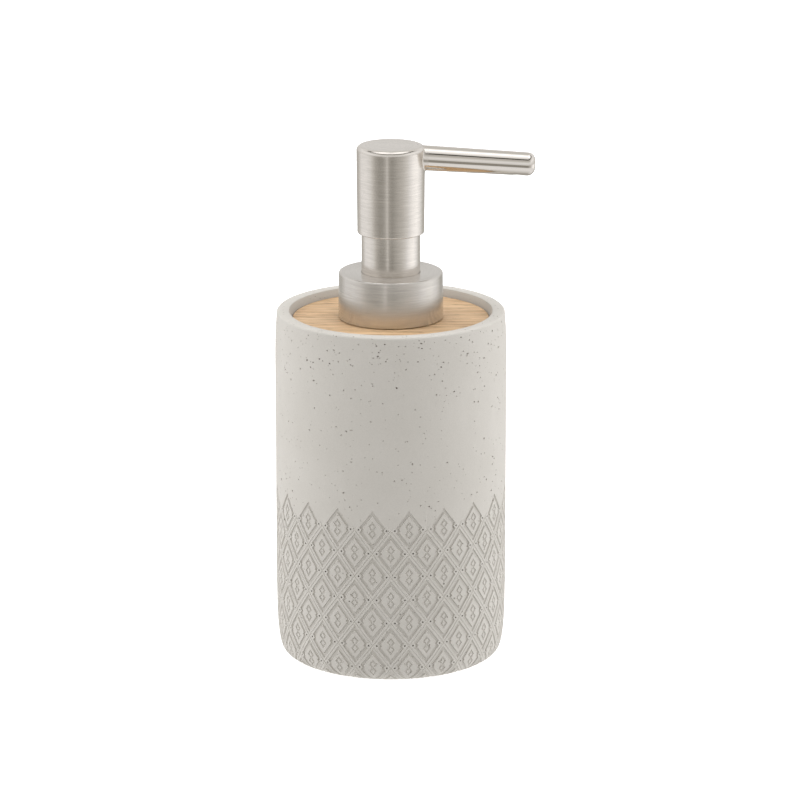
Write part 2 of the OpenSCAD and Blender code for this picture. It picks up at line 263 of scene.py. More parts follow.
# ---------------------------------------------------------------- materials
def stone_material():
    """Cast stone: warm pale grey, fine grain, soft mottling, and open pores, dots and pits darkened with
    painted shade.
    """
    mat, n, shader = material("cast_stone")
    plain = n.stretched((1, 1, 1))
    mottle = n.noise(plain, 55, 4)
    grain = n.noise(plain, 2600, 3, 0.7)
    colour = n.mixed(mottle, (0.483, 0.461, 0.416), (0.538, 0.516, 0.474))
    speck = n.ramp(grain, (0.30, 0.90), (0.62, 1.05))
    colour = n.mixed(0.5, colour, speck, "MULTIPLY")
    pores = n.add("TexVoronoi", feature="F1", Scale=620, Randomness=1)
    n.link(plain, pores.inputs["Vector"])
    pick = n.add("TexNoise", Scale=900, Detail=1)
    n.link(plain, pick.inputs["Vector"])
    # Tiny pores from the Voronoi cells: they dent the bump and are also darkened in the colour as painted
    # shade
    hole = n.calc("LESS_THAN", pores.outputs["Distance"], 0.17)
    few = n.calc("GREATER_THAN", pick.outputs["Fac"], 0.585)
    micro = n.calc("MULTIPLY", hole, few)
    # The pit attribute holds the painted shade of the relief's dots and of the larger pits
    deep = n.add("Attribute", attribute_name="pit").outputs["Fac"]
    dark = n.calc("MAXIMUM", n.calc("MULTIPLY", micro, 0.5), deep, clamp=True)
    # Painted shade: near-black colour in the pores, dots and pits
    colour = n.mixed(dark, colour, (0.13, 0.11, 0.085))
    n.link(colour, shader.inputs["Base Color"])
    rough = n.ramp(grain, (0.2, 0.72), (0.8, 0.92))
    n.link(rough, shader.inputs["Roughness"])
    shader.inputs["Specular IOR Level"].default_value = 0.3
    height = n.calc("SUBTRACT", grain, n.calc("MULTIPLY", micro, 1.5))
    first = n.bumped(shader, height, 0.00003, 0.5)
    n.bumped(shader, n.noise(plain, 260, 3), 0.00010, 0.35, first)
    return mat


def wood_material():
    """Light straight-grained wood, grain along X, with short dark pores."""
    mat, n, shader = material("oak")
    long = n.stretched((30, 1000, 1000))
    bands = n.noise(long, 1, 5, 0.65)
    fine = n.noise(n.stretched((60, 2300, 2300)), 1, 3, 0.6)
    dashes = n.noise(n.stretched((170, 1400, 1400)), 1, 2, 0.5)
    broad = n.noise(n.stretched((14, 110, 110)), 1, 2, 0.5)
    colour = n.ramp(bands, (0.30, (0.47, 0.285, 0.142)), (0.5, (0.69, 0.465, 0.262)),
                    (0.68, (0.80, 0.592, 0.370)))
    knots = n.ramp(broad, (0.3, 0.0), (0.75, 0.45))
    colour = n.mixed(knots, colour, (0.64, 0.408, 0.208))
    streak = n.ramp(fine, (0.38, 0.50), (0.58, 1.0))
    colour = n.mixed(0.8, colour, streak, "MULTIPLY")
    pore = n.ramp(dashes, (0.30, 0.35), (0.40, 1.0))
    colour = n.mixed(0.7, colour, pore, "MULTIPLY")
    n.link(colour, shader.inputs["Base Color"])
    n.link(n.ramp(fine, (0.3, 0.62), (0.7, 0.46)), shader.inputs["Roughness"])
    shader.inputs["Specular IOR Level"].default_value = 0.35
    first = n.bumped(shader, fine, 0.00004, 0.5)
    n.bumped(shader, pore, 0.00005, 0.4, first)
    return mat


TARNISH = (0.55, 0.50, 0.44)
AROUND_SCALE = 2.5  # brush marks round the axis, far longer than they are wide


def brushed_material(name, colour, roughness, depth, anisotropic=0.7, fineness=7e3):
    """Metal brushed round the pump's axis: fine rings on flat faces, fine lines on round ones."""
    mat, n, shader = material(name)
    place = n.add("SeparateXYZ")
    n.link(n.add("TexCoord").outputs["Object"], place.inputs[0])
    x, y, z = place.outputs
    square_x = n.calc("MULTIPLY", x, x)
    square_y = n.calc("MULTIPLY", y, y)
    radius = n.calc("SQRT", n.calc("ADD", square_x, square_y))
    across = n.calc("ADD", radius, z)
    round_x = n.calc("DIVIDE", x, radius)
    round_y = n.calc("DIVIDE", y, radius)
    lines = n.add("CombineXYZ")
    n.link(n.calc("MULTIPLY", round_x, AROUND_SCALE), lines.inputs[0])
    n.link(n.calc("MULTIPLY", round_y, AROUND_SCALE), lines.inputs[1])
    n.link(n.calc("MULTIPLY", across, fineness), lines.inputs[2])
    scratches = n.noise(lines.outputs[0], 1, 3, 0.65)
    cloud = n.noise(n.stretched((1, 1, 1)), 240, 3)
    coarse = n.add("VectorMath", operation="MULTIPLY")
    n.link(lines.outputs[0], coarse.inputs[0])
    coarse.inputs[1].default_value = (0.7, 0.7, 0.4)
    streaks = n.ramp(n.noise(coarse.outputs[0], 1, 4, 0.7), (0.3, 0.0), (0.7, 1.0))
    dark, light = (tuple(min(c * k, 1) for c in colour) for k in (0.91, 1.07))
    tint = n.mixed(streaks, dark, light)
    tint = n.mixed(n.calc("MULTIPLY", cloud, 0.12), tint, TARNISH)
    n.link(tint, shader.inputs["Base Color"])
    level = n.ramp(scratches, (0.25, roughness * 0.8), (0.75, roughness * 1.25))
    n.link(level, shader.inputs["Roughness"])
    shader.inputs["Metallic"].default_value = 1.0
    shader.inputs["Anisotropic"].default_value = anisotropic
    shader.inputs["Anisotropic Rotation"].default_value = 0.25
    tangent = n.add("Tangent", direction_type="RADIAL", axis="Z")
    n.link(tangent.outputs[0], shader.inputs["Tangent"])
    n.bumped(shader, scratches, depth, 0.6)
    return mat


def polished_material(name, colour, roughness):
    """Finely polished metal with faint lengthwise lines along X."""
    mat, n, shader = material(name)
    lines = n.noise(n.stretched((60, 5200, 5200)), 1, 3, 0.6)
    cloud = n.noise(n.stretched((1, 1, 1)), 160, 2)
    dark, light = (tuple(min(c * k, 1) for c in colour) for k in (0.95, 1.04))
    tint = n.mixed(lines, dark, light)
    tint = n.mixed(n.calc("MULTIPLY", cloud, 0.1), tint, TARNISH)
    n.link(tint, shader.inputs["Base Color"])
    level = n.ramp(lines, (0.25, roughness * 0.8), (0.75, roughness * 1.2))
    n.link(level, shader.inputs["Roughness"])
    shader.inputs["Metallic"].default_value = 1.0
    n.bumped(shader, lines, 0.000004, 0.5)
    return mat


PLASTIC_IOR = 1.49


def plastic_material(name, low, high, roughness=0.38, transmission=0.0, coarse=900, relief=0.00002):
    """Moulded plastic: faint cloudiness, fine surface texture and a soft sheen. The grain has its
    scale in coarse and its height in relief."""
    mat, n, shader = material(name)
    plain = n.stretched((1, 1, 1))
    cloud = n.noise(plain, 180, 3)
    grain = n.noise(plain, coarse, 2)
    n.link(n.mixed(cloud, low, high), shader.inputs["Base Color"])
    level = n.ramp(grain, (0.3, roughness * 0.85), (0.7, roughness * 1.2))
    n.link(level, shader.inputs["Roughness"])
    shader.inputs["Transmission Weight"].default_value = transmission
    shader.inputs["IOR"].default_value = PLASTIC_IOR
    n.bumped(shader, grain, relief, 0.35)
    return mat


def foam_material():
    """Closed-cell foam: dark, with a fine open skin."""
    mat, n, shader = material("pad_foam")
    plain = n.stretched((1, 1, 1))
    cells = n.add("TexVoronoi", feature="F1", Scale=1500)
    n.link(plain, cells.inputs["Vector"])
    tint = n.ramp(cells.outputs["Distance"], (0.1, (0.020, 0.019, 0.017)), (0.7, (0.055, 0.052, 0.048)))
    tint = n.mixed(n.noise(plain, 90, 3), tint, (0.048, 0.046, 0.043))
    n.link(tint, shader.inputs["Base Color"])
    shader.inputs["Roughness"].default_value = 0.92
    n.bumped(shader, cells.outputs["Distance"], 0.0001, 0.6)
    return mat


STONE = stone_material()
WOOD = wood_material()
NICKEL = (0.700, 0.660, 0.605)
DULL_NICKEL = (0.615, 0.585, 0.540)
COLLAR_METAL = brushed_material("brushed_collar", DULL_NICKEL, 0.20, 0.0000018, 0.9)
SLEEVE_METAL = brushed_material("brushed_sleeve", NICKEL, 0.18, 0.0000025)
HEAD_METAL = brushed_material("brushed_head", NICKEL, 0.18, 0.0000025)
SPOUT_METAL = polished_material("polished_spout", NICKEL, 0.065)
STEEL = polished_material("spring_steel", (0.60, 0.60, 0.60), 0.22)
BALL_STEEL = polished_material("ball_steel", (0.66, 0.66, 0.67), 0.10)
WHITE_PLASTIC = plastic_material("white_plastic", (0.56, 0.555, 0.535), (0.62, 0.615, 0.595))
NECK_PLASTIC = plastic_material("neck_plastic", (0.70, 0.69, 0.66), (0.76, 0.75, 0.72), 0.45)
TUBE_PLASTIC = plastic_material("tube_plastic", (0.62, 0.66, 0.66), (0.70, 0.74, 0.74), 0.22, 0.30,
                                coarse=300, relief=0.000001)
GASKET_FOAM = plastic_material("gasket_foam", (0.66, 0.68, 0.68), (0.76, 0.78, 0.78), 0.8, coarse=2400)
NOZZLE_PLASTIC = plastic_material("nozzle_plastic", (0.045, 0.043, 0.040), (0.070, 0.066, 0.060), 0.4)
FOAM = foam_material()


# ---------------------------------------------------------------- stone bottle
# Lattice: diamonds round the wall and down it, with the half-sizes of one and the height of the
# top row's middle
CELLS = 20
ROWS = 8
HALF_W = TURN * BODY_R / CELLS / 2
HALF_H = 7.86
FIRST_ROW = 52.7

# Outer profile: rounded foot that runs softly into the wall, crown near the top, rim's edge
FOOT_R = 6.0
FOOT_STEPS = 40
SOFT_FOOT, SOFT_FOOT_FADE = 2.43, 5.75
FOOT_BLEND = 4
WALL_STEP = 0.25
CROWN_Z = 102.0
CROWN = 0.0028
RIM_EDGE = 0.7
RIM_STEPS = 6
MOUTH_R, MOUTH_EDGE = 33.2, 0.4
SEAT_R = WOOD_R + 0.3
WALL_S = 30.0
WALL_FIRST = 60
WALL_ROWS = (66, 74, 82, 90, 98, 104, 108, 111, 113.5)
CELL_COLUMNS = 6

# Inside: recess for the neck's flange, hole for the neck and the reservoir
FLANGE_T = 1
NECK_HOLE_R = 13.6
TANK_R, TANK_ROUND = 33, 4
TANK_FLOOR, TANK_TOP = 6.5, 106

# Relief: where it ends under the foot and fades out, and depths
CLIP_S = -2.0
FADE_S = 1.5
GROOVE_DEPTH = 0.20
RING_DEPTH = 0.46
LOOP_DEPTH = 0.32
DOT_DEPTH = 0.55

# Relief in diamond coordinates, where a cell's edge is at 1. The ring is a band between two
# squares with notched corners: each has a half-size and a notch at its outer and inner slope.
GROOVE_EDGE = 0.95
RING_OUT, RING_OUT_NOTCH = (0.845, 0.80), (0.615, 0.58)
RING_IN, RING_IN_NOTCH = (0.645, 0.60), (0.505, 0.47)
LOOP_AT = 0.16
LOOP_LINES = (0.235, 0.195, 0.14, 0.10)
LOOP_HALF = (LOOP_LINES[0] + LOOP_LINES[-1]) / 2
LOOP_REACH = (LOOP_LINES[0] - LOOP_LINES[-1]) / 2
LOOP_SLOPE = LOOP_LINES[0] - LOOP_LINES[1]
DOT_R = 0.32
DOT_AT = 0.774

# Pits: tries, chances by place, and sizes
PIT_TRIES = 1900
PIT_LOW_SHARE = 0.85
PIT_CHANCE_RIM, PIT_CHANCE_BAND, PIT_CHANCE = 0.85, 0.8, 0.4
PIT_LEAST, PIT_SPREAD, PIT_SKEW = 0.18, 0.24, 1.6
PIT_SIDES = (9, 6)
FLOOR_RING = 0.6  # size of a dot's or pit's floor against its edge


def body_outline():
    """Outer profile from the foot over the rim to the mouth's edge: arc length s, r and z.
    s equals z on the straight wall."""
    heights = [FOOT_R * (1 - math.cos(t)) for t in np.linspace(0, math.pi / 2, FOOT_STEPS)[:-1]]
    heights += list(np.arange(FOOT_R, RIM_Z - BASE_Z - RIM_EDGE, WALL_STEP))
    heights.append(RIM_Z - BASE_Z - RIM_EDGE)
    outline = []
    for h in heights:
        foot = FOOT_R - math.sqrt(max(FOOT_R**2 - max(FOOT_R - h, 0) ** 2, 0))
        soft = SOFT_FOOT * math.exp(-h / SOFT_FOOT_FADE)
        shrink = (foot**FOOT_BLEND + soft**FOOT_BLEND) ** (1 / FOOT_BLEND) if h < 4 * FOOT_R else 0
        crown = CROWN * max(h + BASE_Z - CROWN_Z, 0) ** 2
        outline.append((BODY_R - shrink - crown, BASE_Z + h))
    edge_r = outline[-1][0]
    for k in range(1, RIM_STEPS + 1):
        a = math.pi / 2 * k / RIM_STEPS
        outline.append((edge_r - RIM_EDGE * (1 - math.cos(a)), RIM_Z - RIM_EDGE * (1 - math.sin(a))))
    outline.append((MOUTH_R + MOUTH_EDGE, RIM_Z))
    outline = np.array(outline)
    arc = np.concatenate([[0], np.cumsum(np.linalg.norm(np.diff(outline, axis=0), axis=1))])
    wall = len(heights)
    arc += WALL_S - np.interp(WALL_S, outline[:wall, 1], arc[:wall])
    return arc, outline


OUTLINE_S, OUTLINE = body_outline()
END_S = OUTLINE_S[-1]
START_S = OUTLINE_S[0]
ROUND_S = OUTLINE_S[-RIM_STEPS - 2]


def outline_at(s):
    """Radius and height of the outer profile at an arc length."""
    return np.interp(s, OUTLINE_S, OUTLINE[:, 0]), np.interp(s, OUTLINE_S, OUTLINE[:, 1])


def skin_point(x, s, depth, step=0.05):
    """Point of the bottle's outer skin: x round the wall, s up it, depth into it."""
    r, z = outline_at(s)
    r_after, z_after = outline_at(s + step)
    r_before, z_before = outline_at(s - step)
    dr, dz = r_after - r_before, z_after - z_before
    size = np.maximum(np.hypot(dr, dz), 1e-9)
    r = r - depth * dz / size
    z = z + depth * dr / size
    a = x / BODY_R
    return np.stack([r * np.sin(a), -r * np.cos(a), z], axis=-1)


def ease(value, low, high):
    """Smooth step from 0 at low to 1 at high."""
    t = np.clip((value - low) / (high - low), 0, 1)
    return t * t * (3 - 2 * t)


def ring_edge(m, same, sizes, notches):
    """1 inside a square with notched corners, 0 outside it, with a slope between."""
    side = (sizes[0] - m) / (sizes[0] - sizes[1])
    notch = (notches[0] - same) / (notches[0] - notches[1])
    return np.clip(np.minimum(side, notch), 0, 1)


def bowl(t, wall_share):
    """Depth of a dot or pit from its edge (t = 0) to its centre (t = 1): steep wall, flatter floor."""
    wall = 1 - FLOOR_RING
    return np.clip(t / wall, 0, 1) * wall_share + np.clip((t - wall) / FLOOR_RING, 0, 1) * (1 - wall_share)


def relief_depth(p, q, top_row):
    """Depth of one lattice cell at its diamond coordinates, and how far into a dot the point is, which
    becomes the dot's painted shade.
    """
    m = np.maximum(abs(p), abs(q))
    same = np.where(p * q > 0, np.minimum(abs(p), abs(q)), -1)
    border = np.maximum(-p, q) if top_row else m
    groove = GROOVE_DEPTH * np.clip((border - GROOVE_EDGE) / (1 - GROOVE_EDGE), 0, 1)
    outer = ring_edge(m, same, RING_OUT, RING_OUT_NOTCH)
    inner = ring_edge(m, same, RING_IN, RING_IN_NOTCH)
    depth = groove + RING_DEPTH * np.clip(outer - inner, 0, 1)
    loops = [np.maximum(abs(p - side * LOOP_AT), abs(q + side * LOOP_AT)) for side in (1, -1)]
    off_line = np.minimum(*(abs(m - LOOP_HALF) for m in loops))
    depth = depth + LOOP_DEPTH * np.clip((LOOP_REACH - off_line) / LOOP_SLOPE, 0, 1)
    # the dot value also sets the dot's painted shade in the colour
    dot = np.zeros_like(depth)
    for side in (1, -1):
        x = (p + q) / 2 * HALF_W - side * DOT_AT * HALF_W
        y = (p - q) / 2 * HALF_H
        t = np.clip((DOT_R - np.hypot(x, y)) / DOT_R, 0, 1)
        dot = np.maximum(dot, bowl(t, 0.8))
    return np.maximum(depth, DOT_DEPTH * dot), dot


def pit_depth(x, s, pits):
    """Depth of the open pores at points of the skin, and their painted shade: how far into one each point
    is, times its darkness.
    """
    depth = np.zeros(len(x))
    inside = np.zeros(len(x))
    for px, ps, a, b, angle, deep, shade_tone in pits:
        u = ((x - px) * math.cos(angle) + (s - ps) * math.sin(angle)) / a
        v = (-(x - px) * math.sin(angle) + (s - ps) * math.cos(angle)) / b
        t = np.clip(1 - np.hypot(u, v), 0, 1)
        here = bowl(t, 0.75)
        depth = np.maximum(depth, here * deep)
        # painted shade inside the pit
        inside = np.maximum(inside, here * shade_tone)
    return depth, inside


def make_pits():
    """Open pores scattered over the skin, more of them near the rim and at the relief's upper edge.
    Each one is its centre, two half-axes, angle, depth and the darkness of its painted shade."""
    pits = []
    for _ in range(PIT_TRIES):
        x = random.uniform(-math.pi, math.pi) * BODY_R
        low = CLIP_S + 1 if random.random() < PIT_LOW_SHARE else RIM_Z - 10
        s = random.uniform(low, END_S - 0.6)
        near_rim = s > RIM_Z - 22
        near_band = abs(s - FIRST_ROW - HALF_H) < 5
        if random.random() > (PIT_CHANCE_RIM if near_rim else PIT_CHANCE_BAND if near_band else PIT_CHANCE):
            continue
        size = PIT_LEAST + PIT_SPREAD * random.random() ** PIT_SKEW
        if min(abs(s - ROUND_S), abs(s - END_S)) < size + 0.3:
            continue
        b = size * random.uniform(0.65, 1.0)
        # how dark the pit's painted shade is
        shade_tone = 0.25 + 0.75 * random.random() ** 1.3
        pits.append((x, s, size, b, random.uniform(-0.5, 0.5), size * random.uniform(0.6, 1.1), shade_tone))
    return pits


WHOLE = 1e9  # step of a line that isn't cut into pieces


class Sheet:
    """Points and constraint edges of one flat region of the skin, for a Delaunay mesh."""

    def __init__(self):
        self.points = []
        self.edges = []

    def line(self, corners, closed=True, step=2.6):
        """Straight stretches through the corners, cut into pieces no longer than the step."""
        first = len(self.points)
        count = len(corners) if closed else len(corners) - 1
        for i in range(count):
            start = np.array(corners[i])
            end = np.array(corners[(i + 1) % len(corners)])
            parts = max(1, math.ceil(np.linalg.norm(end - start) / step - 1e-6))
            for k in range(parts):
                self.points.append(tuple(start + (end - start) * k / parts))
        if not closed:
            self.points.append(tuple(corners[-1]))
        total = len(self.points) - first
        for i in range(total if closed else total - 1):
            self.edges.append((first + i, first + (i + 1) % total))

    def oval(self, x, s, a, b, angle, sides):
        """Ellipse of straight sides, with half-axes a and b, turned by the angle."""
        ring = []
        for k in range(sides):
            u = a * math.cos(TURN * k / sides)
            v = b * math.sin(TURN * k / sides)
            across = u * math.cos(angle) - v * math.sin(angle)
            up = u * math.sin(angle) + v * math.cos(angle)
            ring.append((x + across, s + up))
        self.line(ring, step=WHOLE)

    def bowl(self, x, s, a, b, angle, sides, floor_sides):
        """Edge, floor and centre of a dot or a pit."""
        self.oval(x, s, a, b, angle, sides)
        self.oval(x, s, FLOOR_RING * a, FLOOR_RING * b, angle, floor_sides)
        self.points.append((x, s))

    def mesh(self):
        """Points and triangles of the region."""
        points = [Vector(p) for p in self.points]
        verts, _, faces, *_ = delaunay_2d_cdt(points, self.edges, [], 1, 1e-6)
        return np.array([(v.x, v.y) for v in verts]), np.array(faces)


def nearest_turn(x, middle):
    """The same place round the wall, counted within half a turn of the middle."""
    return middle + (x - middle + math.pi * BODY_R) % (TURN * BODY_R) - math.pi * BODY_R


def relief_cell(row, column, pits):
    """One diamond of the lattice: points (x, s), depths, painted shade of its dots and pits, and faces."""
    centre_x = 2 * HALF_W * (column + (0.5 if row % 2 == 0 else 0))
    centre_s = FIRST_ROW - HALF_H * row
    sheet = Sheet()

    def to_skin(p, q):
        """Place on the unrolled wall of a point in the cell's diamond coordinates."""
        return centre_x + (p + q) / 2 * HALF_W, centre_s + (p - q) / 2 * HALF_H

    def square(m, at_p=0.0, at_q=0.0):
        """Diamond-shaped line of half-size m round a point."""
        ring = ((m, -m), (m, m), (-m, m), (-m, -m))
        sheet.line([to_skin(at_p + p, at_q + q) for p, q in ring])

    def notched(m, n):
        """The same round the cell's middle, with its left and right corners cut back to n."""
        ring = ((m, -m), (m, n), (n, n), (n, m), (-m, m), (-m, -n), (-n, -n), (-n, -m))
        sheet.line([to_skin(p, q) for p, q in ring])

    square(1)
    square(GROOVE_EDGE)
    for m, n in zip(RING_OUT + RING_IN, RING_OUT_NOTCH + RING_IN_NOTCH):
        notched(m, n)
    for side in (1, -1):
        for m in LOOP_LINES:
            square(m, side * LOOP_AT, -side * LOOP_AT)
        sheet.bowl(*to_skin(side * DOT_AT, side * DOT_AT), DOT_R, DOT_R, 0, 12, 8)
    mine = []
    for pit in pits:
        x, s, a = pit[:3]
        x = nearest_turn(x, centre_x)
        across = abs(x - centre_x) / HALF_W
        reach = a * math.hypot(1 / HALF_W, 1 / HALF_H) * 1.3
        if across + abs(s - centre_s) / HALF_H < 1 - reach and across < DOT_AT - 0.15 and s > CLIP_S + 2 * a:
            mine.append((x, *pit[1:]))
            sheet.bowl(*mine[-1][:5], *PIT_SIDES)
    if centre_s - HALF_H < CLIP_S:
        half = max(0.0, min(1.0, 1 - abs(CLIP_S - centre_s) / HALF_H)) * HALF_W
        sheet.line([(centre_x - half, CLIP_S), (centre_x + half, CLIP_S)], closed=False, step=1.6)
    flat, faces = sheet.mesh()
    keep = flat[faces][:, :, 1].mean(axis=1) > CLIP_S
    a = (flat[:, 0] - centre_x) / HALF_W
    b = (flat[:, 1] - centre_s) / HALF_H
    depth, dot = relief_depth(a + b, a - b, row == 0)
    # inside is the painted shade of the pits in this cell
    deeper, inside = pit_depth(flat[:, 0], flat[:, 1], mine)
    fade = ease(flat[:, 1], CLIP_S, FADE_S)
    return flat, np.maximum(depth, deeper) * fade, np.maximum(dot, inside) * fade, faces[keep]


def plain_sector(column, pits):
    """The smooth wall above the lattice, over one cell's width, up over the rim."""
    left = 2 * HALF_W * column
    right = left + 2 * HALF_W
    middle = left + HALF_W
    columns = np.linspace(left, right, CELL_COLUMNS + 1)
    rows = [*WALL_ROWS, ROUND_S]
    rings = list(OUTLINE_S[-RIM_STEPS - 1:-1])
    top = float(END_S)
    sheet = Sheet()
    side = [FIRST_ROW, WALL_FIRST, *rows, *rings, top]
    zigzag = [(left, FIRST_ROW), (middle, FIRST_ROW + HALF_H), (right, FIRST_ROW)]
    sheet.line(zigzag, closed=False)
    for x in (left, right):
        sheet.line([(x, s) for s in side], closed=False, step=WHOLE)
    for s in [ROUND_S, *rings, top]:
        sheet.line([(x, s) for x in columns], closed=False, step=WHOLE)
    mine = []
    for pit in pits:
        x, s, a = pit[:3]
        x = nearest_turn(x, middle)
        below = FIRST_ROW + HALF_H * (1 - abs(x - middle) / HALF_W)
        on_round = ROUND_S - 2 * a < s < rings[-1] + 2 * a
        if left + 1.5 * a < x < right - 1.5 * a and below + 2 * a < s < top - 2 * a and not on_round:
            mine.append((x, *pit[1:]))
            sheet.bowl(*mine[-1][:5], *PIT_SIDES)
    for s in rows[:-1] + [(rings[-1] + top) / 2]:
        for x in columns[1:-1]:
            if all(math.hypot(x - pit[0], s - pit[1]) > 1.5 * pit[2] for pit in mine):
                sheet.points.append((x, s))
    flat, faces = sheet.mesh()
    # inside is the painted shade of the pits on this sector
    depth, inside = pit_depth(flat[:, 0], flat[:, 1], mine)
    valley = (flat[:, 1] < FIRST_ROW + 1e-3) & (abs(abs(flat[:, 0] - middle) - HALF_W) < 1e-3)
    depth[valley] = GROOVE_DEPTH
    return flat, depth, inside, faces


def stone_bottle():
    """The whole bottle: relief, plain wall, rim, seat for the wood, neck hole, reservoir and foot."""
    pits = make_pits()
    verts, values, faces = [], [], []
    jobs = [relief_cell(row, column, pits) for row in range(ROWS) for column in range(CELLS)]
    jobs += [plain_sector(column, pits) for column in range(CELLS)]
    for flat, depth, inside, triangles in jobs:
        first = len(verts)
        verts += list(skin_point(flat[:, 0], flat[:, 1], depth))
        # values gather the painted shade of dots and pits
        values += list(inside)
        faces += [tuple(first + t) for t in triangles]
    flange_r, flange_z = NECK_FLANGE_R + FIT, DECK_Z - FLANGE_T
    inner = rounded([
        (SEAT_R, DECK_Z, 0), (flange_r, DECK_Z, 0), (flange_r, flange_z, 0),
        (NECK_HOLE_R, flange_z, 0), (NECK_HOLE_R, TANK_TOP, 0),
        (TANK_R, TANK_TOP, TANK_ROUND), (TANK_R, TANK_FLOOR, TANK_ROUND), (0, TANK_FLOOR, 0)])
    mouth = [(MOUTH_R + MOUTH_EDGE, RIM_Z), (MOUTH_R + 0.3 * MOUTH_EDGE, RIM_Z - 0.3 * MOUTH_EDGE),
             (MOUTH_R, RIM_Z - MOUTH_EDGE), (SEAT_R, WOOD_TOP)]
    profile = mouth + [tuple(p) for p in inner]
    ring_verts, ring_faces = lathe_data(profile, CELL_COLUMNS * CELLS, closed=False)
    first = len(verts)
    verts += ring_verts
    values += [0.0] * len(ring_verts)
    faces += [tuple(first + i for i in f) for f in ring_faces]
    verts, values, faces = underside(verts, values, faces)
    # The pit attribute carries the painted shade of dots and pits into the stone's colour
    return new_object("stone_bottle", verts, faces, 24, {"pit": values})


def underside(verts, values, faces):
    """Closes the bottle from the lattice's lower edge, round the foot and into the pad's recess."""
    ids = {}
    for i, v in enumerate(verts):
        ids.setdefault((round(v[0], 3), round(v[1], 3), round(v[2], 3)), i)
    clip_z = float(outline_at(CLIP_S)[1])
    low = [i for key, i in ids.items() if abs(key[2] - clip_z) < 0.002]
    low.sort(key=lambda i: math.atan2(verts[i][0], -verts[i][1]))
    angles = [math.atan2(verts[i][0], -verts[i][1]) for i in low]
    rings = [tuple(map(float, outline_at(s))) for s in np.linspace(CLIP_S, START_S, 5)[1:]]
    rings += [(PAD_R + FIT, BASE_Z), (PAD_R + FIT, PAD_TOP), (0.6 * PAD_R, PAD_TOP), (0, PAD_TOP)]
    before = low
    for r, z in rings:
        first = len(verts)
        verts += [(r * math.sin(a), -r * math.cos(a), z) for a in angles]
        values += [0.0] * len(angles)
        ring = list(range(first, first + len(angles)))
        for j in range(len(ring)):
            k = (j + 1) % len(ring)
            faces.append((before[j], before[k], ring[k], ring[j]))
        before = ring
    return verts, values, faces


# ---------------------------------------------------------------- wood, collar, sleeve, pad
def wood_ring():
    """Flat disc with its upper edges eased."""
    below, above = 0.1, 0.3
    profile = rounded([
        (WOOD_BORE, DECK_Z, below), (WOOD_R, DECK_Z, below),
        (WOOD_R, WOOD_TOP, above), (WOOD_BORE, WOOD_TOP, above)], 3)
    return lathe("wood_ring", profile, 240)


def collar():
    """Thin metal cap, slightly tapered, with a hole for the sleeve."""
    inside = NUT_R + FIT
    hole = SLEEVE_R + 0.07
    top_r = COLLAR_R - 0.2
    under_top = COLLAR_TOP - 0.8
    profile = rounded([
        (inside, COLLAR_Z, 0.12), (COLLAR_R, COLLAR_Z, 0.22), (top_r, COLLAR_TOP, 0.5),
        (hole, COLLAR_TOP, 0.08), (hole, under_top, 0), (inside, under_top, 0.2)], 6)
    return lathe("collar", profile, 256, 50)


def sleeve():
    """Thin metal tube with an inward lip at the top."""
    inside = SLEEVE_R - 0.55
    under_lip = SLEEVE_TOP - 0.5
    edge, shoulder = 0.1, 0.4
    profile = rounded([
        (inside, SLEEVE_Z, edge), (SLEEVE_R, SLEEVE_Z, edge), (SLEEVE_R, SLEEVE_TOP, shoulder),
        (SLEEVE_LIP_R, SLEEVE_TOP, edge), (SLEEVE_LIP_R, under_lip, edge), (inside, under_lip, 0)], 5)
    return lathe("sleeve", profile, 224, 50)


def foot_pad():
    """Flat disc with a rounded lower edge."""
    profile = rounded([(0, PAD_Z, 0), (PAD_R, PAD_Z, 0.4), (PAD_R, PAD_TOP, 0.15), (0, PAD_TOP, 0)], 4)
    return lathe("foot_pad", profile, 160)


# ---------------------------------------------------------------- threads and spring
def helix(radius, crest, half_root, half_crest, pitch, turns, start_z, steps=72):
    """Points and faces of a thread ridge: a trapezium swept up a helix, tapering in at both ends."""
    verts, faces = [], []
    root = radius - 0.3
    count = int(turns * steps)
    for i in range(count + 1):
        a = TURN * i / steps
        grow = float(ease(min(i, count - i) / steps, 0, 0.12))
        top = radius + 0.02 + (crest - radius) * grow
        z = start_z + pitch * i / steps
        for r, dz in ((root, -half_root), (top, -half_crest), (top, half_crest), (root, half_root)):
            verts.append((r * math.cos(a), r * math.sin(a), z + dz))
    for i in range(count):
        for j in range(4):
            k = (j + 1) % 4
            faces.append((4 * i + j, 4 * i + k, 4 * i + 4 + k, 4 * i + 4 + j))
    faces.append((0, 1, 2, 3))
    faces.append(tuple(4 * count + j for j in (3, 2, 1, 0)))
    return verts, faces


def threaded_neck():
    """Plug in the shoulder, flange on it, and a bottle neck with one helical thread."""
    plug_r, neck_r, crest = NECK_HOLE_R - FIT, 12.4, 13.7
    pitch, turns, below_lip = 3.4, 1.9, 8.6
    flange_z = DECK_Z - FLANGE_T
    profile = rounded([
        (NECK_BORE, NECK_Z, 0.2), (plug_r, NECK_Z, 0.2), (plug_r, flange_z, 0),
        (NECK_FLANGE_R, flange_z, 0.15), (NECK_FLANGE_R, DECK_Z, 0.2), (neck_r, DECK_Z, 0.3),
        (neck_r, NECK_LIP, 0.25), (NECK_BORE, NECK_LIP, 0.3)], 4)
    verts, faces = lathe_data(profile, 128)
    more_verts, more_faces = helix(neck_r, crest, 0.85, 0.35, pitch, turns, NECK_LIP - below_lip)
    first = len(verts)
    faces += [tuple(first + i for i in f) for f in more_faces]
    return new_object("threaded_neck", verts + more_verts, faces)


